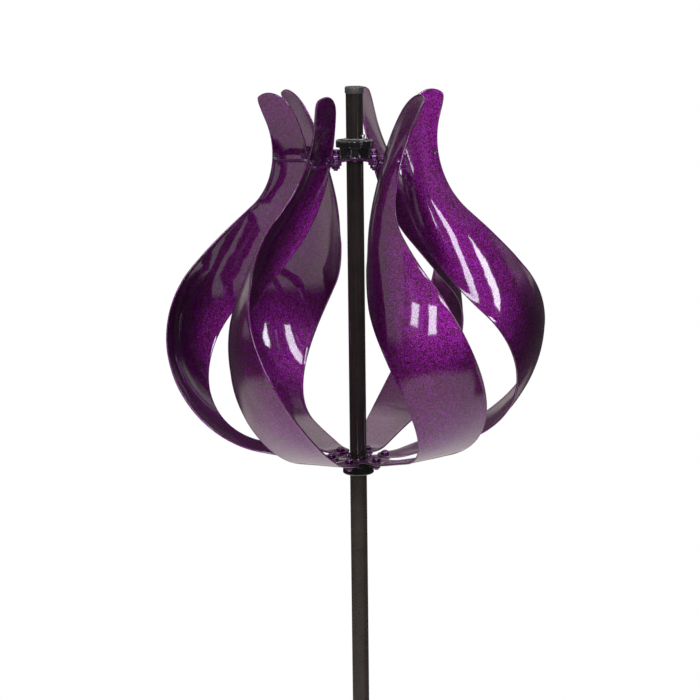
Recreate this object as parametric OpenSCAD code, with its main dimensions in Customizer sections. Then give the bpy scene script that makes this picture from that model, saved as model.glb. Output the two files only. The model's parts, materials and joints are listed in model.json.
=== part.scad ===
// Kinetic wind sculpture: a rotor of six cupped flame-shaped blades that turns freely
// on a fixed upright pole, which stands in the ground on a forked stake.
// Millimetres. +Z is up along the pole, and the origin is on the pole's axis at ground level.

/* [Rotor] */
// Height of the lower tabs' top face above the ground
rotor_z = 1272; // [1200:1:1400]
// Height of the upper arms' underside above the lower tabs
arm_level = 337; // [330:1:345]
// Thickness of a blade's sheet
blade_t = 1.5; // [1:0.1:2]
// Turn of each hand-bent blade's top about the pole, from even spacing, in degrees
top_turn = [5, 5, 5, -13, -5, 0];

/* [Blade] */
// Distance from the pole's axis to the strip's lower end
foot_start = 23; // [22:1:26]
// Runs and bends of the strip from foot to tip: length, and how far it turns in degrees
bends = [[15, 0], [16, 15], [63, 0], [222, 118], [90, 0], [166, -82]];
// Sweep of the strip's middle about the pole: distance along the strip, and angle
sweep = [[60, 11], [385, -15], [590, 18]];
// Half of the strip's width at its foot
foot_half = 10; // [8:1:12]
// Half of the strip's width where it is widest
belly_half = 42; // [36:1:46]
// Half of the strip's width where the tip's rounding begins
tip_half = 16; // [12:1:20]
// Distance along the strip to its widest place
widest_at = 265; // [240:5:290]
// Distance along the strip at which its even twist begins
twist_start = 150; // [120:5:180]
// Twist in degrees for each 100 mm of the strip
twist_rate = 28; // [20:1:34]
// Depth of the cup: distance along the strip, and depth
cup = [[80, 0], [300, 11], [420, 11], [560, 0]];
// Where the tip's two rounded corners meet, from -1 at the inner edge to 1 at the outer edge
tip_peak = 0.5; // [0:0.1:0.8]

/* [Pole] */
// Diameter of the shaft that the rotor turns on
shaft_d = 19; // [18:0.1:20]
// Height of the shaft's capped top above the ground
pole_top = 1692; // [1660:1:1720]
// Diameter of the two lower pole tubes
tube_d = 19.2; // [19:0.1:20]
// Length of each lower pole tube without its spigot
tube_length = 610; // [500:1:620]

/* [Stake] */
// Diameter of each ground prong
prong_d = 10; // [8:0.5:12]
// Length of a prong below the ground, with its point
prong_length = 215; // [180:1:240]
// Distance from the centre prong to each outer prong
prong_gap = 55; // [45:1:60]

/* [Hidden] */
$fn = 64;
blades = 6;
step = 360 / blades;
blade_nodes = [for (i = [1:blades]) str("blade_", i)];
arm_nodes = [for (i = [1:blades]) str("arm_", i)];

// Fits and fasteners
running_gap = 0.06;
slip_gap = 0.02;
shaft_r = shaft_d / 2;
tube_r = tube_d / 2;
tube_bore_r = 8;
wall = 1.5;
bush_r = 11.8;
plate_t = 3;
m5_r = 2.5;
m3_r = 1.5;

// Levels above the ground
tabs_top = rotor_z;
arms_bottom = rotor_z + arm_level;
top_plate_bottom = arms_bottom + plate_t;
top_hub_bottom = top_plate_bottom + plate_t;
flange_bottom = top_hub_bottom + 10.5;
flange_top = flange_bottom + 8;
skirt_top = rotor_z - 8.3;
skirt_bottom = rotor_z - 18;
ring_top = rotor_z - 13.5;
ring_bottom = rotor_z - 19;
upper_tube_top = ring_bottom;
lower_tube_top = upper_tube_top - tube_length;
lower_tube_bottom = lower_tube_top - tube_length;
ring_screw_level = (skirt_bottom + 0.6 + ring_top) / 2;
spigot_length = 40;

// Blade surface. s is the distance along the strip and v runs from -1 at the inner edge to 1 at the outer edge.
foot_level = blade_t / 2 + 0.05;
foot_end = 9;
tip_length = 30;
twist_ease = 70;
last_bend = len(bends) - 1;
function length_to(k) = k < 0 ? 0 : bends[k][0] + length_to(k - 1);
last = length_to(last_bend);
tip_start = last - tip_length;
// The point reached from p after a run that turns evenly
function onward(p, heading, run, turn) =
    let (chord = turn == 0 ? run : run * sin(turn / 2) / (turn * PI / 360))
    p + chord * [cos(heading + turn / 2), sin(heading + turn / 2)];
// The strip's middle seen from the side: radius, height and heading
function profile(s, k = 0, p = [foot_start, foot_level], heading = 0) =
    let (run = bends[k][0], turn = bends[k][1], part = turn * s / run)
    s <= run || k == last_bend ?
        concat(onward(p, heading, s, part), heading + part) :
        profile(s - run, k + 1, onward(p, heading, run, turn), heading + turn);
// The value at s on a curve that levels off at each stop
function eased(stops, s, k = 0) =
    s <= stops[0][0] ? stops[0][1] :
    k == len(stops) - 1 ? stops[k][1] :
    s > stops[k + 1][0] ? eased(stops, s, k + 1) :
    let (t = (s - stops[k][0]) / (stops[k + 1][0] - stops[k][0]))
    stops[k][1] + (stops[k + 1][1] - stops[k][1]) * (1 - cos(180 * t)) / 2;
function half_width(s) =
    s < widest_at ? foot_half + (belly_half - foot_half) * sin(90 * s / widest_at) :
    eased([[widest_at, belly_half], [last, tip_half]], s);
function twist(s) =
    let (on = s - twist_start)
    on < -twist_ease ? 0 :
    on > twist_ease ? on * twist_rate / 100 :
    pow(on + twist_ease, 2) / (4 * twist_ease) * twist_rate / 100;
function unit(p) = p / norm(p);
function turn_at(s, i) = i * step + eased(sweep, s) + top_turn[i] * profile(s)[1] / arm_level;
function middle(s, i) =
    let (p = profile(s), a = turn_at(s, i))
    [p[0] * cos(a), p[0] * sin(a), rotor_z + p[1]];
function strip_way(s, i) = unit(middle(s + 1, i) - middle(s - 1, i));
function half_chord(s, i) =
    let (
        heading = profile(s)[2],
        a = turn_at(s, i),
        outward = [sin(heading) * cos(a), sin(heading) * sin(a), -cos(heading)],
        aside = unit(cross(strip_way(s, i), outward))
    )
    half_width(s) * (aside * cos(twist(s)) + outward * sin(twist(s)));
function bulge_way(s, i) = unit(cross(half_chord(s, i), strip_way(s, i)));
function rounding(way) = sqrt(1 - pow(0.98 * way, 2));
function foot_width(s) = s < foot_end ? rounding((foot_end - s) / foot_end) : 1;
function tip_width(s) = s > tip_start ? rounding((s - tip_start) / (last - tip_start)) : 1;
// The sheet's own place across the chord, with its rounded foot and tip
function across_chord(s, v) = v * foot_width(s) * tip_width(s) + tip_peak * (1 - tip_width(s));
function skin_at(s, w, i) =
    middle(s, i) + half_chord(s, i) * w + bulge_way(s, i) * eased(cup, s) * (1 - w * w);
function skin(s, v, i) = skin_at(s, across_chord(s, v), i);
function sheet_way(s, v, i) =
    let (e = 1, w = across_chord(s, v), b = bulge_way(s, i), h = half_chord(s, i), c = eased(cup, s))
    unit(cross(h - 2 * w * c * b, skin_at(s + e, w, i) - skin_at(s - e, w, i)));

// Rows of the blade mesh: close together round the foot and the tip, even between them
foot_rows = 4;
body_rows = 34;
tip_rows = 7;
columns = 8;
rows = concat(
    [for (k = [0:foot_rows - 1]) foot_end * (1 - cos(90 * k / foot_rows))],
    [for (k = [0:body_rows]) foot_end + (tip_start - foot_end) * k / body_rows],
    [for (k = [1:tip_rows]) tip_start + (last - tip_start) * sin(90 * k / tip_rows)]
);

// Upper arms: a flat plate from the hub tab, round the inner edge and across the cup to the outer edge
arm_bolt_r = 42;
arm_half = 4;
hub_tab_half = 6.5;
lug_t = 2;
lug_half = 3.2;
lug_v = 0.84;
screw_level = arm_level + 7;
lug_back = blade_t / 2 + 0.4;

// Blade feet: each lies on a lower tab under one bolt
foot_bolt_r = 31;
foot_bolt_turn = sweep[0][1];
foot_tab_half = 7;

// Stake
socket_r = 11.5;
socket_top = lower_tube_bottom + 62;
bar_t = 6;
bar_half = prong_gap + 12;
bar_width = 26;
prong_r = prong_d / 2;
tenon_r = prong_r - 1;
point_length = 35;

module tube(r_out, r_in, low, high) {
    translate([0, 0, low]) difference() {
        cylinder(r = r_out, h = high - low);
        translate([0, 0, -1]) cylinder(r = r_in, h = high - low + 2);
    }
}

// A hexagon nut, its axis along +Z
module nut(corner_r, thick, hole_r) {
    difference() {
        cylinder(r = corner_r, h = thick, $fn = 6);
        translate([0, 0, -1]) cylinder(r = hole_r, h = thick + 2);
    }
}

// Puts its children at a point, with +Z along a direction
module facing(point, way) {
    translate(point) rotate([0, acos(way[2]), atan2(way[1], way[0])]) children();
}

// ---- Pole ----

module shaft() {
    color("#141414") difference() {
        union() {
            translate([0, 0, upper_tube_top]) cylinder(r = shaft_r, h = pole_top - 2.2 - upper_tube_top);
            translate([0, 0, upper_tube_top - spigot_length])
                cylinder(r = tube_bore_r - 0.05, h = spigot_length + 1);
        }
        translate([0, 0, upper_tube_top + 4]) cylinder(r = shaft_r - wall, h = pole_top);
        translate([0, 0, upper_tube_top - spigot_length - 1])
            cylinder(r = tube_bore_r - wall, h = spigot_length + 6);
        facing([0, 0, stop_level], stop_way) cylinder(r = m3_r + slip_gap, h = shaft_r + 2);
    }
}

module shaft_cap() {
    color("#3c3c3c") difference() {
        union() {
            translate([0, 0, pole_top - 7.6]) cylinder(r = shaft_r + 0.9, h = 6.6);
            translate([0, 0, pole_top - 1]) cylinder(r1 = shaft_r + 0.9, r2 = shaft_r - 0.1, h = 1);
        }
        translate([0, 0, pole_top - 8]) cylinder(r = shaft_r + 0.03, h = 5.8);
    }
}

stop_way = [cos(-25), sin(-25), 0];
stop_head_r = 2.6;
washer_low = flange_top + 0.3;
stop_level = washer_low + 1 + stop_head_r + 0.1;
module stop_screw() {
    color("silver") facing([0, 0, stop_level], stop_way) {
        translate([0, 0, shaft_r - 4]) cylinder(r = m3_r, h = 4.5);
        translate([0, 0, shaft_r + 0.4]) cylinder(r = stop_head_r, h = 1.2);
        translate([0, 0, shaft_r + 1.6]) cylinder(r1 = stop_head_r, r2 = 1.8, h = 0.8);
    }
}

module top_washer() {
    color("silver") tube(13, shaft_r + 0.1, washer_low, washer_low + 1);
}

module support_ring() {
    color("#202020") difference() {
        union() {
            tube(14, shaft_r + 0.04, skirt_bottom + 0.6, ring_top);
            tube(10.4, shaft_r + 0.04, ring_bottom, ring_top);
        }
        facing([0, 0, ring_screw_level], [0, 1, 0]) cylinder(r = m3_r + slip_gap, h = 20);
    }
}

module ring_screw() {
    color("silver") facing([0, shaft_r + 0.05, ring_screw_level], [0, 1, 0]) difference() {
        cylinder(r = m3_r, h = 4.2);
        translate([0, 0, 2.4]) cylinder(r = 0.8, h = 3, $fn = 6);
    }
}

module thrust_washer() {
    color("ivory") tube(13.2, shaft_r + 0.1, ring_top, ring_top + 1);
}

module pole_tube(low, has_spigot) {
    color("#1b1614") difference() {
        union() {
            translate([0, 0, low]) cylinder(r = tube_r, h = tube_length);
            if (has_spigot) {
                translate([0, 0, low - spigot_length]) cylinder(r = tube_bore_r - 0.05, h = spigot_length + 1);
            }
        }
        translate([0, 0, low + 5]) cylinder(r = tube_bore_r, h = tube_length);
        translate([0, 0, low - spigot_length - 1]) cylinder(r = tube_bore_r - wall, h = spigot_length + 8);
    }
}

module upper_tube() {
    pole_tube(lower_tube_top, true);
}

module lower_tube() {
    pole_tube(lower_tube_bottom, false);
}

// ---- Stake ----

module stake_socket() {
    color("#191919") difference() {
        translate([0, 0, bar_t]) cylinder(r = socket_r, h = socket_top - bar_t);
        translate([0, 0, lower_tube_bottom]) cylinder(r = tube_r + 0.1, h = socket_top);
        facing([0, 0, socket_top - 15], [0, -1, 0]) cylinder(r = m5_r + slip_gap, h = 20);
    }
}

module socket_screw() {
    color("silver") facing([0, 0, socket_top - 15], [0, -1, 0]) {
        translate([0, 0, tube_r + 0.02]) cylinder(r = m5_r, h = 10);
        translate([0, 0, tube_r + 10]) cylinder(r1 = 7, r2 = 6.5, h = 4);
    }
}

module step_bar() {
    color("#191919") difference() {
        translate([-bar_half, -bar_width / 2, 0]) cube([2 * bar_half, bar_width, bar_t]);
        for (x = [-prong_gap, 0, prong_gap]) {
            translate([x, 0, -1]) cylinder(r = tenon_r + slip_gap, h = bar_t + 2);
        }
    }
}

// A pointed rod whose thinner tenon goes up through the bar
module prong(x) {
    color("#191919") translate([x, 0, 0]) {
        cylinder(r = tenon_r, h = bar_t);
        translate([0, 0, point_length - prong_length]) cylinder(r = prong_r, h = prong_length - point_length);
        translate([0, 0, -prong_length]) cylinder(r1 = 0.6, r2 = prong_r, h = point_length);
    }
}

module centre_prong() {
    prong(0);
}

module outer_prongs() {
    for (side = [-1, 1]) {
        prong(side * prong_gap);
    }
}

// Two triangular plates that brace the socket on the bar
module gussets() {
    color("#191919") for (side = [0, 180]) {
        rotate([0, 0, side]) translate([0, plate_t / 2, 0]) rotate([90, 0, 0])
            linear_extrude(height = plate_t)
                polygon([
                    [socket_r + 0.02, bar_t], [prong_gap - 6, bar_t],
                    [prong_gap - 6, bar_t + 4], [socket_r + 0.02, bar_t + 40]
                ]);
    }
}

// ---- Hubs ----

plate_screw_r = 14.2;
plate_screw_turns = [30, 150, 270];

// Holes or shanks of the three small screws that hold a tab plate on its hub
module at_plate_screws() {
    for (a = plate_screw_turns) {
        rotate([0, 0, a]) translate([plate_screw_r, 0, 0]) children();
    }
}

module top_hub() {
    color("#0e0e0e") difference() {
        union() {
            translate([0, 0, top_hub_bottom]) cylinder(r = 17, h = flange_bottom - top_hub_bottom + 1);
            translate([0, 0, flange_bottom]) cylinder(r = 21, h = 7);
            translate([0, 0, flange_top - 1]) cylinder(r1 = 21, r2 = 20, h = 1);
        }
        translate([0, 0, top_hub_bottom - 1]) cylinder(r = bush_r + slip_gap, h = 40);
        translate([0, 0, top_hub_bottom - 1]) at_plate_screws() cylinder(r = m3_r + slip_gap, h = 8);
    }
}

module top_bush() {
    color("ivory") tube(bush_r, shaft_r + running_gap, top_hub_bottom + 0.5, flange_top - 0.5);
}

module bottom_hub() {
    color("#0e0e0e") difference() {
        rotate_extrude() polygon([
            [0, skirt_bottom], [17, skirt_bottom], [17.8, skirt_bottom + 1.2], [17.2, skirt_top - 0.6],
            [16.6, skirt_top], [16.6, rotor_z - plate_t], [0, rotor_z - plate_t]
        ]);
        translate([0, 0, skirt_bottom - 1]) cylinder(r = bush_r + slip_gap, h = 40);
        translate([0, 0, skirt_bottom - 1]) cylinder(r = 14.6, h = ring_top + 1.1 - skirt_bottom + 1);
        translate([0, 0, rotor_z - plate_t - 6]) at_plate_screws() cylinder(r = m3_r + slip_gap, h = 8);
    }
}

module bottom_bush() {
    color("ivory") tube(bush_r, shaft_r + running_gap, ring_top + 1.12, rotor_z - plate_t - 0.2);
}

// A round plate with six round-ended tabs, each with a bolt hole
module tab_plate(low, disc_r, tab_half, bolt_r, turn, hole_r) {
    translate([0, 0, low]) difference() {
        linear_extrude(height = plate_t) union() {
            circle(r = disc_r);
            for (i = [0:blades - 1]) {
                rotate([0, 0, i * step + turn]) {
                    translate([0, -tab_half]) square([bolt_r, 2 * tab_half]);
                    translate([bolt_r, 0]) circle(r = tab_half);
                }
            }
        }
        translate([0, 0, -1]) cylinder(r = 11.5, h = plate_t + 2);
        for (i = [0:blades - 1]) {
            rotate([0, 0, i * step + turn]) translate([bolt_r, 0, -1]) cylinder(r = hole_r, h = plate_t + 2);
        }
        translate([0, 0, -1]) at_plate_screws() cylinder(r = m3_r + slip_gap, h = plate_t + 2);
    }
}

module top_tab_plate() {
    color("#3a0f42") tab_plate(top_plate_bottom, 19, hub_tab_half, arm_bolt_r, 0, m5_r + 0.1);
}

module bottom_tab_plate() {
    color("#3a0f42") tab_plate(rotor_z - plate_t, 19, foot_tab_half, foot_bolt_r, foot_bolt_turn, m5_r + 0.1);
}

module plate_screws() {
    color("silver") {
        at_plate_screws() translate([0, 0, rotor_z - plate_t - 5.5]) cylinder(r = m3_r, h = plate_t + 5.5);
        at_plate_screws() translate([0, 0, rotor_z]) cylinder(r1 = 2.6, r2 = 2, h = 1.7);
        at_plate_screws() translate([0, 0, top_plate_bottom]) cylinder(r = m3_r, h = plate_t + 6);
        at_plate_screws() translate([0, 0, top_plate_bottom - 1.7]) cylinder(r1 = 2, r2 = 2.6, h = 1.7);
    }
}

// ---- Blades ----

module blade(i) {
    across = columns + 1;
    front = [for (s = rows) for (k = [0:columns])
        let (v = 2 * k / columns - 1) skin(s, v, i) + sheet_way(s, v, i) * blade_t / 2];
    back = [for (s = rows) for (k = [0:columns])
        let (v = 2 * k / columns - 1) skin(s, v, i) - sheet_way(s, v, i) * blade_t / 2];
    total = len(front);
    cells = [for (r = [0:len(rows) - 2]) for (k = [0:columns - 1]) r * across + k];
    rim = concat(
        [for (k = [0:columns]) k],
        [for (r = [1:len(rows) - 1]) r * across + columns],
        [for (k = [1:columns]) (len(rows) - 1) * across + columns - k],
        [for (r = [1:len(rows) - 2]) (len(rows) - 1 - r) * across]
    );
    faces = concat(
        [for (c = cells) [c, c + 1, c + across]],
        [for (c = cells) [c + 1, c + across + 1, c + across]],
        [for (c = cells) [total + c, total + c + across, total + c + 1]],
        [for (c = cells) [total + c + 1, total + c + across, total + c + across + 1]],
        [for (k = [0:len(rim) - 1]) [rim[k], total + rim[k], rim[(k + 1) % len(rim)]]],
        [for (k = [0:len(rim) - 1])
            [rim[(k + 1) % len(rim)], total + rim[k], total + rim[(k + 1) % len(rim)]]]
    );
    color("#7a1a8c") polyhedron(points = concat(front, back), faces = faces, convexity = 6);
}

// The distance along the strip where the sheet crosses a level, at v across it
function station_at(level, v, i, low, high, tries) =
    let (mid = (low + high) / 2)
    tries == 0 ? mid :
    skin(mid, v, i)[2] - rotor_z < level ? station_at(level, v, i, mid, high, tries - 1) :
    station_at(level, v, i, low, mid, tries - 1);
function lug_station(v, i) = station_at(screw_level, v, i, tip_start - 160, tip_start, 24);

// ---- Arms ----

function flat(p) = [p[0], p[1]];
function arm_station(v, i) = station_at(arm_level + 1.5, v, i, tip_start - 160, tip_start, 24);
function inner_corner(i) = flat(skin(arm_station(-1, i), -1, i));
function outer_corner(i) = flat(skin(arm_station(1, i), 1, i));
// A point beside the chord at the arm's level: along it from the inner corner, and off to the hollow side
function beside(along_chord, off, i) =
    let (way = unit(outer_corner(i) - inner_corner(i)))
    inner_corner(i) + way * along_chord + [-way[1], way[0]] * off;
function chord_length(i) = norm(outer_corner(i) - inner_corner(i));
// Where a bar's round end runs into the back of a lug, at the arm's own level
function lug_base(v, i) =
    let (s = lug_station(v, i), way = sheet_way(s, v, i), lean = norm(flat(way)))
    flat(skin(s, v, i)) + unit(flat(way))
        * ((screw_level - arm_level - plate_t / 2) * way[2] / lean - (lug_back + lug_t / 2) * lean - arm_half);
function hub_bolt(i) = arm_bolt_r * [cos(i * step), sin(i * step)];

// A flat bar between two points. Its round end is a little wider than its sides.
module bar(from, to) {
    run = to - from;
    translate(from) rotate([0, 0, atan2(run[1], run[0])]) translate([0, -arm_half]) square([norm(run), 2 * arm_half]);
    translate(to) circle(r = arm_half + 0.2);
}

module lug(v, i) {
    s = lug_station(v, i);
    facing(skin(s, v, i), sheet_way(s, v, i)) difference() {
        translate([-3.6, -lug_half, -lug_back - lug_t]) cube([11.5, 2 * lug_half, lug_t]);
        translate([0, 0, -lug_back - lug_t - 1]) cylinder(r = m3_r + slip_gap, h = lug_t + 2);
    }
}

module arm(i) {
    knee = beside(-7, 5, i);
    near = beside(chord_length(i) * (1 - lug_v) / 2, 7.5, i);
    far = beside(chord_length(i) * (1 + lug_v) / 2 - 3.5, 6.5, i);
    color("#4a1356") {
        translate([0, 0, arms_bottom]) difference() {
            linear_extrude(height = plate_t) union() {
                translate(hub_bolt(i)) circle(r = hub_tab_half);
                bar(hub_bolt(i), knee);
                bar(knee, near);
                bar(near, far);
                bar(near, lug_base(-lug_v, i));
                bar(far, lug_base(lug_v, i));
            }
            translate(hub_bolt(i)) translate([0, 0, -1]) cylinder(r = m5_r + 0.1, h = plate_t + 2);
        }
        lug(-lug_v, i);
        lug(lug_v, i);
    }
}

module at_edge_screws() {
    for (i = [0:blades - 1]) {
        for (v = [-lug_v, lug_v]) {
            let (s = lug_station(v, i)) facing(skin(s, v, i), sheet_way(s, v, i)) children();
        }
    }
}

module edge_screws() {
    color("silver") at_edge_screws() {
        translate([0, 0, -lug_back - lug_t - 0.6]) cylinder(r = m3_r, h = lug_back + lug_t + 2);
        translate([0, 0, 1]) cylinder(r = 2.7, h = 0.8);
        translate([0, 0, 1.8]) cylinder(r1 = 2.7, r2 = 1.6, h = 0.9);
    }
}

// ---- Hub and foot bolts ----

module at_hub_bolts(level) {
    for (i = [0:blades - 1]) {
        translate([hub_bolt(i)[0], hub_bolt(i)[1], level]) children();
    }
}

module arm_bolts() {
    color("silver") {
        at_hub_bolts(arms_bottom - 6) cylinder(r = m5_r, h = 2 * plate_t + 8);
        at_hub_bolts(top_hub_bottom + 1) cylinder(r = 4.6, h = 3.4, $fn = 6);
    }
}

module arm_washers() {
    color("silver") at_hub_bolts(top_hub_bottom) difference() {
        cylinder(r = 5.4, h = 1);
        translate([0, 0, -1]) cylinder(r = m5_r + 0.1, h = 3);
    }
}

module arm_nuts() {
    color("silver") at_hub_bolts(arms_bottom - 4) nut(4.6, 4, m5_r + slip_gap);
}

module at_foot_bolts(level) {
    for (i = [0:blades - 1]) {
        rotate([0, 0, i * step + foot_bolt_turn]) translate([foot_bolt_r, 0, level]) children();
    }
}

foot_washer_low = tabs_top + 2.4;
module foot_bolts() {
    color("silver") {
        at_foot_bolts(tabs_top - 9) cylinder(r = m5_r, h = 12);
        at_foot_bolts(foot_washer_low + 1) cylinder(r1 = 4.6, r2 = 4.2, h = 1.6);
        at_foot_bolts(foot_washer_low + 2.6) cylinder(r1 = 4.2, r2 = 2, h = 1.4);
    }
}

module foot_washers() {
    color("silver") at_foot_bolts(foot_washer_low) difference() {
        cylinder(r = 5.2, h = 1);
        translate([0, 0, -1]) cylinder(r = m5_r + 0.1, h = 3);
    }
}

module foot_nuts() {
    color("silver") at_foot_bolts(rotor_z - plate_t - 4) nut(4.6, 4, m5_r + slip_gap);
}

for (i = [0:blades - 1]) {
    blade(i);
    arm(i);
}
shaft();
shaft_cap();
stop_screw();
top_washer();
support_ring();
ring_screw();
thrust_washer();
upper_tube();
lower_tube();
stake_socket();
socket_screw();
step_bar();
centre_prong();
outer_prongs();
gussets();
top_hub();
top_bush();
top_tab_plate();
plate_screws();
bottom_hub();
bottom_bush();
bottom_tab_plate();
arm_bolts();
arm_washers();
arm_nuts();
edge_screws();
foot_bolts();
foot_washers();
foot_nuts();
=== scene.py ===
"""The looks of a garden wind spinner, in metres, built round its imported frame."""

import json
import math

import bmesh
import bpy
from mathutils import Matrix, Quaternion, Vector, noise

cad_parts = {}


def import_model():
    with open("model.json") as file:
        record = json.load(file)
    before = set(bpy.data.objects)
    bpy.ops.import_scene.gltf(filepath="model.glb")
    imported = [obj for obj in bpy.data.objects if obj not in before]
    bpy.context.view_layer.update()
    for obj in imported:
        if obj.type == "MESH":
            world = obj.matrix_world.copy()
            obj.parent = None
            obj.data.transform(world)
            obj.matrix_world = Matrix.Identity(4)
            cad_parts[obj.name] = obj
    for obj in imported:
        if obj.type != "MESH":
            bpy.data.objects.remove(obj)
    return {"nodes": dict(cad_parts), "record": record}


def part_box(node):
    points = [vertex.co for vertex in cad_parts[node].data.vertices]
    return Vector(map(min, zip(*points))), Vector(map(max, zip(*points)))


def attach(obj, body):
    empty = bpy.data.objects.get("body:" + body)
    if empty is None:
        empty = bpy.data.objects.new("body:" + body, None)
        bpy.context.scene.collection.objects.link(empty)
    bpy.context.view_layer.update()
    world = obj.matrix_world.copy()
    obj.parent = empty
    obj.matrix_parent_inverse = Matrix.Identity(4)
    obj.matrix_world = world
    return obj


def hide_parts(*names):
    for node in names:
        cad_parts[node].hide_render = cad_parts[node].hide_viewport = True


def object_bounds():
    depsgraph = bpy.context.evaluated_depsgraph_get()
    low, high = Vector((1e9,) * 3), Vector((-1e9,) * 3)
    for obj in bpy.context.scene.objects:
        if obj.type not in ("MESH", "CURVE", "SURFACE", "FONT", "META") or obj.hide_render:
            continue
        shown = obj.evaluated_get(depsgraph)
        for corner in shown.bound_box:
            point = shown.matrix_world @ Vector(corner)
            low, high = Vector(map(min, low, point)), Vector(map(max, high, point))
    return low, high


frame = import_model()
cad_low, cad_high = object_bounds()
MM = 0.001

# ---------------------------------------------------------------- the rotor, as part.scad has it
BLADES = 6
STEP = math.radians(360 / BLADES)
TABS_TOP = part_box("bottom_tab_plate")[1].z
ARM_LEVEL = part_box("arm_1")[0].z - TABS_TOP
SHEET_T = 1.5 * MM
TOP_TURN = [5, 5, 5, -13, -5, 0]
# Each blade is one strip, in mm and degrees, and s is the distance along it from foot to tip.
FOOT_START = 23
FOOT_LEVEL = 0.8
# The strip's runs and bends (length, turn), then its sweep and its cup's depth (distance along it, value)
BENDS = [(15, 0), (16, 15), (63, 0), (222, 118), (90, 0), (166, -82)]
SWEEP = [(60, 11), (385, -15), (590, 18)]
CUP = [(80, 0), (300, 11), (420, 11), (560, 0)]
FOOT_HALF, BELLY_HALF, TIP_HALF = 10, 42, 16
WIDEST_AT = 265
TWIST_START, TWIST_EASE, TWIST_RATE = 150, 70, 0.28
TIP_PEAK = 0.5
LAST = sum(length for length, turn in BENDS)
FOOT_END = 9
TIP_LENGTH = 30
TIP_START = LAST - TIP_LENGTH


def onward(p, heading, run, turn):
    """The point reached from p after a run that turns evenly."""
    chord = run * math.sin(turn / 2) / (turn / 2) if turn else run
    return p + chord * Vector((math.cos(heading + turn / 2), math.sin(heading + turn / 2)))


def profile(s):
    """The strip's middle seen from the side: its radius and height in mm, and its heading."""
    p, heading = Vector((FOOT_START, FOOT_LEVEL)), 0.0
    for k, (run, turn) in enumerate(BENDS):
        if s <= run or k == len(BENDS) - 1:
            turned = math.radians(turn * s / run)
            return onward(p, heading, s, turned), heading + turned
        p = onward(p, heading, run, math.radians(turn))
        heading += math.radians(turn)
        s -= run


def eased(stops, s):
    """The value at s on a curve that levels off at each stop."""
    if s <= stops[0][0]:
        return stops[0][1]
    for (start, low), (end, high) in zip(stops, stops[1:]):
        if s <= end:
            return low + (high - low) * (1 - math.cos(math.pi * (s - start) / (end - start))) / 2
    return stops[-1][1]


def half_width(s):
    """Half the strip's width in mm, widest at the belly."""
    if s < WIDEST_AT:
        return FOOT_HALF + (BELLY_HALF - FOOT_HALF) * math.sin(math.pi / 2 * s / WIDEST_AT)
    return eased([(WIDEST_AT, BELLY_HALF), (LAST, TIP_HALF)], s)


def twist(s):
    """The strip's twist about its own length: even past an easy start."""
    on = s - TWIST_START
    if on < -TWIST_EASE:
        return 0.0
    if on > TWIST_EASE:
        return math.radians(TWIST_RATE * on)
    return math.radians(TWIST_RATE * (on + TWIST_EASE) ** 2 / (4 * TWIST_EASE))


def turn_at(s, i):
    """The angle about the pole of blade i's middle."""
    height = profile(s)[0].y * MM
    return i * STEP + math.radians(eased(SWEEP, s) + TOP_TURN[i] * height / ARM_LEVEL)


def middle(s, i):
    p, a = profile(s)[0] * MM, turn_at(s, i)
    return Vector((p.x * math.cos(a), p.x * math.sin(a), TABS_TOP + p.y))


class Section:
    """One cross-section of a blade, s mm along the strip: its middle, half chord and bulge."""

    def __init__(self, s, i):
        self.middle = middle(s, i)
        way = (middle(s + 1, i) - middle(s - 1, i)).normalized()
        heading, a = profile(s)[1], turn_at(s, i)
        outward = Vector((
            math.sin(heading) * math.cos(a), math.sin(heading) * math.sin(a), -math.cos(heading)
        ))
        aside = way.cross(outward).normalized()
        self.half = (aside * math.cos(twist(s)) + outward * math.sin(twist(s))) * half_width(s) * MM
        self.bulge = self.half.cross(way).normalized() * eased(CUP, s) * MM

    def point(self, w):
        return self.middle + self.half * w + self.bulge * (1 - w * w)


def foot_width(s):
    """The share of the width that the rounded foot leaves."""
    return math.sqrt(1 - (0.98 * (FOOT_END - s) / FOOT_END) ** 2) if s < FOOT_END else 1.0


def tip_width(s):
    """The share of the width that the rounded tip leaves."""
    return math.sqrt(max(0.0, 1 - ((s - TIP_START) / TIP_LENGTH) ** 2)) if s > TIP_START else 1.0


FOOT_ROWS, BODY_ROWS, TIP_ROWS, COLUMNS = 8, 150, 26, 30
RIM_STEPS = 6
RIM_R = 1.15 * MM
RIM_WIDTH = 3.0 * MM
DENT = 0.16 * MM
DENT_SIZE = 20 * MM
DENT_SHIFT = 7.3
NEAR_S, NEAR_W = 0.5, 0.01


def stations():
    """Distances along the strip, close together at the foot and at the tip."""
    foot = [FOOT_END * (1 - math.cos(math.pi / 2 * k / FOOT_ROWS)) for k in range(FOOT_ROWS)]
    body = [FOOT_END + (TIP_START - FOOT_END) * k / BODY_ROWS for k in range(BODY_ROWS + 1)]
    tip = [
        TIP_START + TIP_LENGTH * math.sin(math.pi / 2 * k / TIP_ROWS)
        for k in range(1, TIP_ROWS + 1)
    ]
    return foot + body + tip


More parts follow.
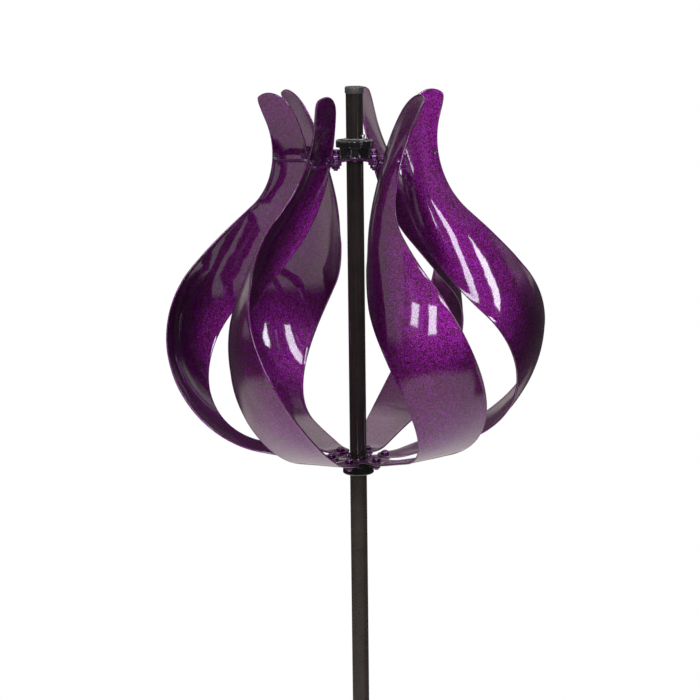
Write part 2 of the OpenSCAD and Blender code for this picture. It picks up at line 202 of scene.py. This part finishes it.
def blade_mesh(i):
    """The pressed sheet with its rolled rim: closed loops round the cross-section, from foot to tip."""
    across = [math.sin(math.pi / 2 * (2 * k / COLUMNS - 1)) for k in range(COLUMNS + 1)]
    bm = bmesh.new()
    loops = []
    for s in stations():
        here, after = Section(s, i), Section(s + NEAR_S, i)
        width = foot_width(s) * tip_width(s)
        lean = TIP_PEAK * (1 - tip_width(s))
        sheet = []
        for v in across:
            w = v * width + lean
            p = here.point(w)
            side = here.point(w + NEAR_W) - here.point(w - NEAR_W)
            up = after.point(w) - p
            normal = side.cross(up).normalized()
            from_rim = (1 - abs(v)) * width * here.half.length
            bead = RIM_R - SHEET_T / 2
            half_t = SHEET_T / 2 + bead * max(0.0, 1 - from_rim / RIM_WIDTH) ** 2
            dent = noise.noise(p / DENT_SIZE + Vector((i * DENT_SHIFT, 0, 0))) * DENT
            p = p + normal * dent
            sheet.append((p, normal, half_t, side.normalized()))
        ring = [p + n * t for p, n, t, _ in sheet]
        p, n, t, side = sheet[-1]
        for k in range(1, RIM_STEPS):
            a = math.pi * k / RIM_STEPS
            ring.append(p + n * t * math.cos(a) + side * t * math.sin(a))
        ring += [p - n * t for p, n, t, _ in reversed(sheet)]
        p, n, t, side = sheet[0]
        for k in range(1, RIM_STEPS):
            a = math.pi * k / RIM_STEPS
            ring.append(p - n * t * math.cos(a) - side * t * math.sin(a))
        loops.append([bm.verts.new(q) for q in ring])
    count = len(loops[0])
    for low, high in zip(loops, loops[1:]):
        for k in range(count):
            j = (k + 1) % count
            bm.faces.new((low[k], low[j], high[j], high[k]))
    bm.faces.new(list(reversed(loops[0])))
    bm.faces.new(loops[-1])
    bmesh.ops.recalc_face_normals(bm, faces=bm.faces)
    return bm


def new_piece(name, bm, material, smooth=True):
    """Turns a bmesh into an object in the scene."""
    mesh = bpy.data.meshes.new(name)
    bm.to_mesh(mesh)
    bm.free()
    for face in mesh.polygons:
        face.use_smooth = smooth
    mesh.materials.append(material)
    piece = bpy.data.objects.new(name, mesh)
    bpy.context.scene.collection.objects.link(piece)
    return piece


# ---------------------------------------------------------------- materials
class Nodes:
    """A short way to add and link the nodes of one material."""

    def __init__(self, name):
        self.material = bpy.data.materials.new(name)
        self.material.use_nodes = True
        self.tree = self.material.node_tree
        self.shader = self.tree.nodes["Principled BSDF"]
        self.place = self.add("ShaderNodeTexCoord").outputs["Object"]

    def add(self, kind, **settings):
        node = self.tree.nodes.new(kind)
        for key, value in settings.items():
            setattr(node, key, value)
        return node

    def link(self, source, target):
        self.tree.links.new(source, target)

    def noise(self, scale, detail=2.0, rough=0.5):
        node = self.add("ShaderNodeTexNoise")
        node.inputs["Scale"].default_value = scale
        node.inputs["Detail"].default_value = detail
        node.inputs["Roughness"].default_value = rough
        self.link(self.place, node.inputs["Vector"])
        return node.outputs["Fac"]

    def cells(self, scale):
        node = self.add("ShaderNodeTexVoronoi")
        node.inputs["Scale"].default_value = scale
        self.link(self.place, node.inputs["Vector"])
        return node

    def ramp(self, source, *stops):
        node = self.add("ShaderNodeValToRGB")
        ramp = node.color_ramp
        while len(ramp.elements) < len(stops):
            ramp.elements.new(0.5)
        for element, (at, colour) in zip(ramp.elements, stops):
            element.position = at
            element.color = (*colour, 1)
        self.link(source, node.inputs["Fac"])
        return node.outputs["Color"]

    def spread(self, source, low, high):
        """Maps 0..1 to low..high."""
        node = self.add("ShaderNodeMapRange")
        node.inputs["To Min"].default_value = low
        node.inputs["To Max"].default_value = high
        self.link(source, node.inputs["Value"])
        return node.outputs["Result"]

    def mix(self, factor, first, second, blend="MIX"):
        node = self.add("ShaderNodeMix", data_type="RGBA", blend_type=blend)
        for value, socket in ((factor, node.inputs[0]), (first, node.inputs[6]), (second, node.inputs[7])):
            if isinstance(value, (int, float)):
                socket.default_value = value
            else:
                self.link(value, socket)
        return node.outputs[2]

    def bump(self, height, depth, strength=1.0, under=None):
        node = self.add("ShaderNodeBump")
        node.inputs["Strength"].default_value = strength
        node.inputs["Distance"].default_value = depth
        self.link(height, node.inputs["Height"])
        if under is not None:
            self.link(under, node.inputs["Normal"])
        return node.outputs["Normal"]

    def set(self, **values):
        """Puts numbers and colours straight on the shader's sockets, and links the rest."""
        for key, value in values.items():
            socket = self.shader.inputs[key.replace("_", " ")]
            if isinstance(value, bpy.types.NodeSocket):
                self.link(value, socket)
            elif isinstance(value, tuple):
                socket.default_value = (*value, 1)
            else:
                socket.default_value = value
        return self.material


def flake_paint():
    n = Nodes("flake_paint")
    flakes = n.cells(1150)
    fine = n.noise(650, 3, 0.7)
    broad = n.noise(14, 2, 0.5)
    grain = n.ramp(
        n.mix(0.45, flakes.outputs["Color"], fine),
        (0.32, (0.034, 0.004, 0.014)),
        (0.50, (0.092, 0.007, 0.068)),
        (0.70, (0.262, 0.014, 0.330)),
    )
    tone = n.ramp(broad, (0.3, (0.82, 0.80, 0.84)), (0.7, (1.0, 1.0, 1.0)))
    colour = n.mix(1.0, grain, tone, "MULTIPLY")
    ripple = n.bump(n.noise(80, 1, 0.4), 0.0010, 0.12)
    peel = n.bump(n.noise(500, 1, 0.4), 0.00012, 0.10, ripple)
    sparkle = n.bump(flakes.outputs["Distance"], 0.0006, 0.5, ripple)
    return n.set(
        Base_Color=colour,
        Metallic=1.0,
        Roughness=0.40,
        Normal=sparkle,
        Coat_Weight=1.0,
        Coat_Roughness=0.07,
        Coat_IOR=1.5,
        Coat_Normal=peel,
    )


def black_gloss(name, colour, rough):
    n = Nodes(name)
    tone = n.ramp(
        n.noise(60, 3, 0.6),
        (0.3, tuple(0.8 * c for c in colour)),
        (0.7, tuple(1.25 * c for c in colour)),
    )
    return n.set(
        Base_Color=tone,
        Roughness=n.spread(n.noise(240, 3, 0.6), rough * 0.8, rough * 1.3),
        Normal=n.bump(n.noise(500, 2, 0.5), 0.0002, 0.3),
        Coat_Weight=0.6,
        Coat_Roughness=0.08,
    )


def steel(name, colour, rough):
    n = Nodes(name)
    tone = n.ramp(
        n.noise(300, 3, 0.6),
        (0.3, tuple(0.75 * c for c in colour)),
        (0.7, colour),
    )
    return n.set(
        Base_Color=tone,
        Metallic=1.0,
        Roughness=n.spread(n.noise(500, 3, 0.6), rough * 0.7, rough * 1.4),
        Normal=n.bump(n.noise(900, 2, 0.5), 0.0001, 0.3),
    )


def nylon():
    n = Nodes("bearing_nylon")
    tone = n.ramp(n.noise(120, 3, 0.6), (0.3, (0.60, 0.57, 0.50)), (0.7, (0.74, 0.72, 0.66)))
    return n.set(
        Base_Color=tone, Roughness=n.spread(n.noise(400), 0.4, 0.6), Subsurface_Weight=0.15
    )


FINISH = {
    "flake_paint": flake_paint(),
    "arm_paint": black_gloss("arm_paint", (0.040, 0.006, 0.042), 0.16),
    "hub_black": black_gloss("hub_black", (0.006, 0.006, 0.006), 0.14),
    "pole_black": black_gloss("pole_black", (0.012, 0.009, 0.008), 0.18),
    "tube_paint": black_gloss("tube_paint", (0.026, 0.020, 0.017), 0.26),
    "cap_grey": black_gloss("cap_grey", (0.032, 0.031, 0.031), 0.4),
    "ring_black": black_gloss("ring_black", (0.02, 0.02, 0.02), 0.3),
    "bearing_nylon": nylon(),
    "zinc_steel": steel("zinc_steel", (0.60, 0.60, 0.62), 0.3),
    "bolt_paint": steel("bolt_paint", (0.20, 0.09, 0.22), 0.22),
}
BODIES = frame["record"]["behaviour"]["bodies"]
BODY = {name: body for body, names in BODIES.items() for name in names}
for entry in frame["record"]["subparts"]:
    node = frame["nodes"][entry["node"]]
    node.data.materials.clear()
    node.data.materials.append(FINISH[entry["material_slot"]])

# ---------------------------------------------------------------- pieces
for i in range(BLADES):
    name = f"blade_{i + 1}"
    blade = new_piece(f"{name}_sheet", blade_mesh(i), FINISH["flake_paint"])
    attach(blade, "rotor")
    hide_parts(name)


FLAT_ANGLE, EDGE_ANGLE, SMOOTH_ANGLE = (math.radians(a) for a in (2, 28, 40))
WELD = 1e-6


def softened(name, radius):
    """Stands a copy of a CAD node, with its sharp edges rounded off, in its place."""
    node = frame["nodes"][name]
    bm = bmesh.new()
    bm.from_mesh(node.data)
    bm.transform(node.matrix_world)
    bmesh.ops.remove_doubles(bm, verts=bm.verts, dist=WELD)
    bmesh.ops.dissolve_limit(bm, angle_limit=FLAT_ANGLE, verts=bm.verts, edges=bm.edges)
    sharp = [
        edge for edge in bm.edges
        if len(edge.link_faces) == 2 and edge.calc_face_angle(0.0) > EDGE_ANGLE
    ]
    bmesh.ops.bevel(
        bm, geom=sharp, offset=radius, offset_type="OFFSET", segments=3, profile=0.5,
        affect="EDGES", clamp_overlap=True,
    )
    piece = new_piece(f"{name}_soft", bm, node.data.materials[0])
    piece.data.set_sharp_from_angle(angle=SMOOTH_ANGLE)
    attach(piece, BODY[name])
    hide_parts(name)


# Bevel offsets. The bevel reads them in metres, so its overlap clamp is what sets each real radius.
SOFT_EDGES = {
    "top_hub": 0.5, "bottom_hub": 0.4, "shaft_cap": 0.6, "top_washer": 0.2, "stop_screw": 0.3,
    "top_tab_plate": 0.5, "bottom_tab_plate": 0.5, "plate_screws": 0.2,
    "arm_bolts": 0.3, "arm_nuts": 0.3, "foot_bolts": 0.4, "foot_nuts": 0.3, "edge_screws": 0.3,
    "stake_socket": 0.6, "socket_screw": 0.6, "step_bar": 1.0, "gussets": 0.5,
}
for name, radius in SOFT_EDGES.items():
    softened(name, radius)
for i in range(BLADES):
    softened(f"arm_{i + 1}", 0.45)

# ---------------------------------------------------------------- stage, light and camera
FLOOR_Z = cad_low.z - 1 * MM
FLOOR_R = 2.2
FADE_FROM = 0.45


def floor():
    """A round pale floor that fades out at its edge."""
    bm = bmesh.new()
    bmesh.ops.create_circle(bm, cap_ends=True, segments=96, radius=FLOOR_R)
    bmesh.ops.translate(bm, verts=bm.verts, vec=(0, 0, FLOOR_Z))
    n = Nodes("studio_floor")
    tone = n.ramp(n.noise(3, 4, 0.6), (0.3, (0.80, 0.80, 0.80)), (0.7, (0.84, 0.84, 0.84)))
    reach = n.add("ShaderNodeVectorMath", operation="LENGTH")
    n.link(n.place, reach.inputs[0])
    fade = n.add("ShaderNodeMapRange", interpolation_type="SMOOTHSTEP")
    fade.inputs["From Min"].default_value = FADE_FROM * FLOOR_R
    fade.inputs["From Max"].default_value = FLOOR_R
    fade.inputs["To Min"].default_value = 1
    fade.inputs["To Max"].default_value = 0
    n.link(reach.outputs["Value"], fade.inputs["Value"])
    return new_piece(
        "floor",
        bm,
        n.set(
            Base_Color=tone,
            Roughness=0.7,
            Alpha=fade.outputs["Result"],
            Emission_Color=(1.0, 1.0, 1.0),
            Emission_Strength=0.35,
        ),
        smooth=False,
    )


floor()

AIM = Vector((0, 0, TABS_TOP + 0.2))
LAMP_COLOUR = (0.93, 0.93, 1.0)


def softbox(name, azimuth, elevation, distance, width, height, power, lean=0):
    """A rectangular light that faces the rotor. Azimuth is from the camera's side, positive to its right.
    A positive lean tips its top to the right."""
    a, e = math.radians(azimuth), math.radians(elevation)
    way = Vector((math.sin(a) * math.cos(e), -math.cos(a) * math.cos(e), math.sin(e)))
    data = bpy.data.lights.new(name, "AREA")
    data.shape = "RECTANGLE"
    data.size, data.size_y = width, height
    data.energy = power
    data.color = LAMP_COLOUR
    lamp = bpy.data.objects.new(name, data)
    lamp.location = AIM + way * distance
    lamp.rotation_mode = "QUATERNION"
    upright = way.to_track_quat("Z", "Y")
    lamp.rotation_quaternion = upright @ Quaternion((0, 0, 1), -math.radians(lean))
    bpy.context.scene.collection.objects.link(lamp)


softbox("strip_centre", -1, 24, 2.6, 0.50, 1.30, 33)
softbox("strip_right", 38, 22, 2.6, 0.44, 1.05, 30, 32)
softbox("strip_left", -31, 27, 2.6, 0.52, 0.90, 21)
softbox("side_fill", 100, 46, 2.6, 0.80, 0.80, 12)

# What the paint reflects. Azimuth spans are from, to and softness, in degrees.
DIM = 0.05
FLOOR_EDGE = (-29, -20)
FLOOR_DROP = 18
DROP_SPAN = (62, 125, 12)
FLOOR_WHITE = (0.70, 1.15)
BRIGHT_SPAN = (-115, 125, 15)
WARM = (1.0, 0.95, 0.88)
# Bright areas round the object: azimuth and elevation from and to, softness in degrees, brightness
PANELS = [
    (-108, -54, 1, 62, 4, 0.80),
    (-54, -20, 6, 38, 5, 0.40),
    (-32, 32, 54, 90, 4, 0.90),
    (-170, 170, 42, 90, 5, 0.28),
    (92, 150, 20, 75, 6, 0.55),
    (-190, -60, 48, 90, 6, 0.60),
    (-162, -126, 6, 60, 5, 0.95),
    (-190, -162, 20, 60, 5, 1.10),
    (162, 190, 20, 60, 5, 1.10),
    (126, 162, 8, 40, 5, 0.80),
]


def world():
    """White for the camera. Reflections see a white floor, a dark room, a bright side and a backdrop."""
    made = bpy.data.worlds.new("studio")
    made.use_nodes = True
    tree = made.node_tree
    for old in list(tree.nodes):
        tree.nodes.remove(old)
    link = tree.links.new

    def put(value, socket):
        if isinstance(value, (int, float)):
            socket.default_value = value
        else:
            link(value, socket)

    def rise(source, start, end, low=0.0, high=1.0):
        node = tree.nodes.new("ShaderNodeMapRange")
        node.interpolation_type = "SMOOTHSTEP"
        for key, value in (
            ("Value", source), ("From Min", start), ("From Max", end), ("To Min", low), ("To Max", high)
        ):
            put(value, node.inputs[key])
        return node.outputs["Result"]

    def maths(operation, first, second=0.0):
        node = tree.nodes.new("ShaderNodeMath")
        node.operation = operation
        put(first, node.inputs[0])
        put(second, node.inputs[1])
        return node.outputs[0]

    def window(source, low, high, soft):
        up = rise(source, low - soft, low + soft)
        return maths("MULTIPLY", up, rise(source, high - soft, high + soft, 1.0, 0.0))

    place = tree.nodes.new("ShaderNodeTexCoord")
    parts = tree.nodes.new("ShaderNodeSeparateXYZ")
    link(place.outputs["Generated"], parts.inputs[0])
    towards = maths("MULTIPLY", parts.outputs["Y"], -1.0)
    azimuth = maths("DEGREES", maths("ARCTAN2", parts.outputs["X"], towards))
    elevation = maths("DEGREES", maths("ARCSINE", parts.outputs["Z"]))
    drop = maths("MULTIPLY", window(azimuth, *DROP_SPAN), FLOOR_DROP)
    lowered = maths("ADD", elevation, drop)
    white_floor = rise(window(azimuth, *BRIGHT_SPAN), 0, 1, *FLOOR_WHITE)
    light = rise(lowered, FLOOR_EDGE[0], FLOOR_EDGE[1], white_floor, DIM)
    for low, high, bottom, top, soft, bright in PANELS:
        across = window(azimuth, low, high, soft)
        upright = window(elevation, bottom, top + soft, soft)
        area = maths("MULTIPLY", across, upright)
        light = maths("MAXIMUM", light, maths("MULTIPLY", area, bright))
    room = tree.nodes.new("ShaderNodeBackground")
    room.inputs["Color"].default_value = (*WARM, 1)
    link(light, room.inputs["Strength"])
    white = tree.nodes.new("ShaderNodeBackground")
    white.inputs["Color"].default_value = (1, 1, 1, 1)
    rays = tree.nodes.new("ShaderNodeLightPath")
    mix = tree.nodes.new("ShaderNodeMixShader")
    link(rays.outputs["Is Camera Ray"], mix.inputs["Fac"])
    link(room.outputs[0], mix.inputs[1])
    link(white.outputs[0], mix.inputs[2])
    out = tree.nodes.new("ShaderNodeOutputWorld")
    link(mix.outputs[0], out.inputs["Surface"])
    return made


scene = bpy.context.scene
scene.world = world()
scene.view_settings.view_transform = "Standard"

CAMERA_AT = Vector((0, -2.1, TABS_TOP + 0.5422))
PITCH, YAW, ROLL = 0.1963, 0.0038, 0.0121
LENS = 97.55
SENSOR = 36


def camera():
    data = bpy.data.cameras.new("camera")
    data.lens = LENS
    data.sensor_width = SENSOR
    made = bpy.data.objects.new("camera", data)
    made.rotation_mode = "QUATERNION"
    turn = Matrix.Rotation(YAW, 3, "Z") @ Matrix.Rotation(math.pi / 2 - PITCH, 3, "X")
    made.rotation_quaternion = (turn @ Matrix.Rotation(-ROLL, 3, "Z")).to_quaternion()
    made.location = CAMERA_AT
    scene.collection.objects.link(made)
    return made


scene.camera = camera()
